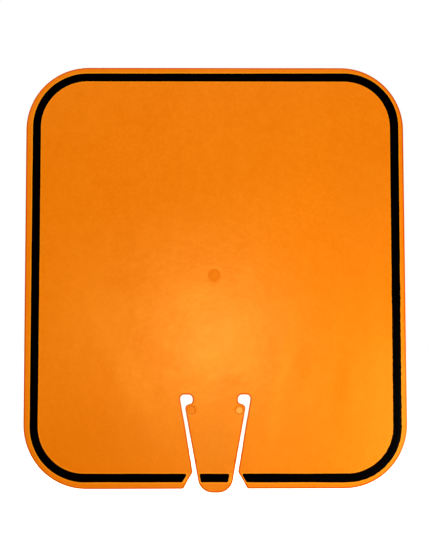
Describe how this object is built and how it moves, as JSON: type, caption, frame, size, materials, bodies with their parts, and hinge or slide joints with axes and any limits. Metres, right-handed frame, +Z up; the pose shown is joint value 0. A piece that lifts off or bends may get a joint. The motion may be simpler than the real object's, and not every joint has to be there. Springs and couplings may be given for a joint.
{
  "type": "traffic cone sign",
  "caption": "Flat rounded plastic sign blank with a printed border and a sprung tongue that clips it over the open top of a traffic cone.",
  "frame": {"origin": "at the cone clip: on the centre line, at mid thickness, at the height of the middle of the two slot bulbs, where the bead of the cone's rim sits", "axes": "+X to the right seen from the front, +Y from the front face to the back face, +Z up the upright panel, away from the cone"},
  "size_m": [0.2756, 0.0024, 0.3078],
  "materials": {
    "orange_plastic": "bright safety orange polyethylene, satin, with a fine moulded texture",
    "black_ink": "matt black screen-printed ink"
  },
  "bodies": {
    "panel": {"sign_panel": "orange_plastic", "tongue_flexure": "orange_plastic", "panel_border_front": "black_ink", "panel_border_back": "black_ink"},
    "tongue": {"clip_tongue": "orange_plastic", "tongue_border_front": "black_ink", "tongue_border_back": "black_ink"}
  },
  "joints": [
    {"name": "tongue_bend", "type": "hinge", "parent": "panel", "child": "tongue", "pos_m": [0, 0, -0.0159], "axis": [1, 0, 0], "range_deg": [-20, 20], "stiffness_Nm_per_rad": 1.4, "deforming": ["tongue_flexure"]}
  ]
}
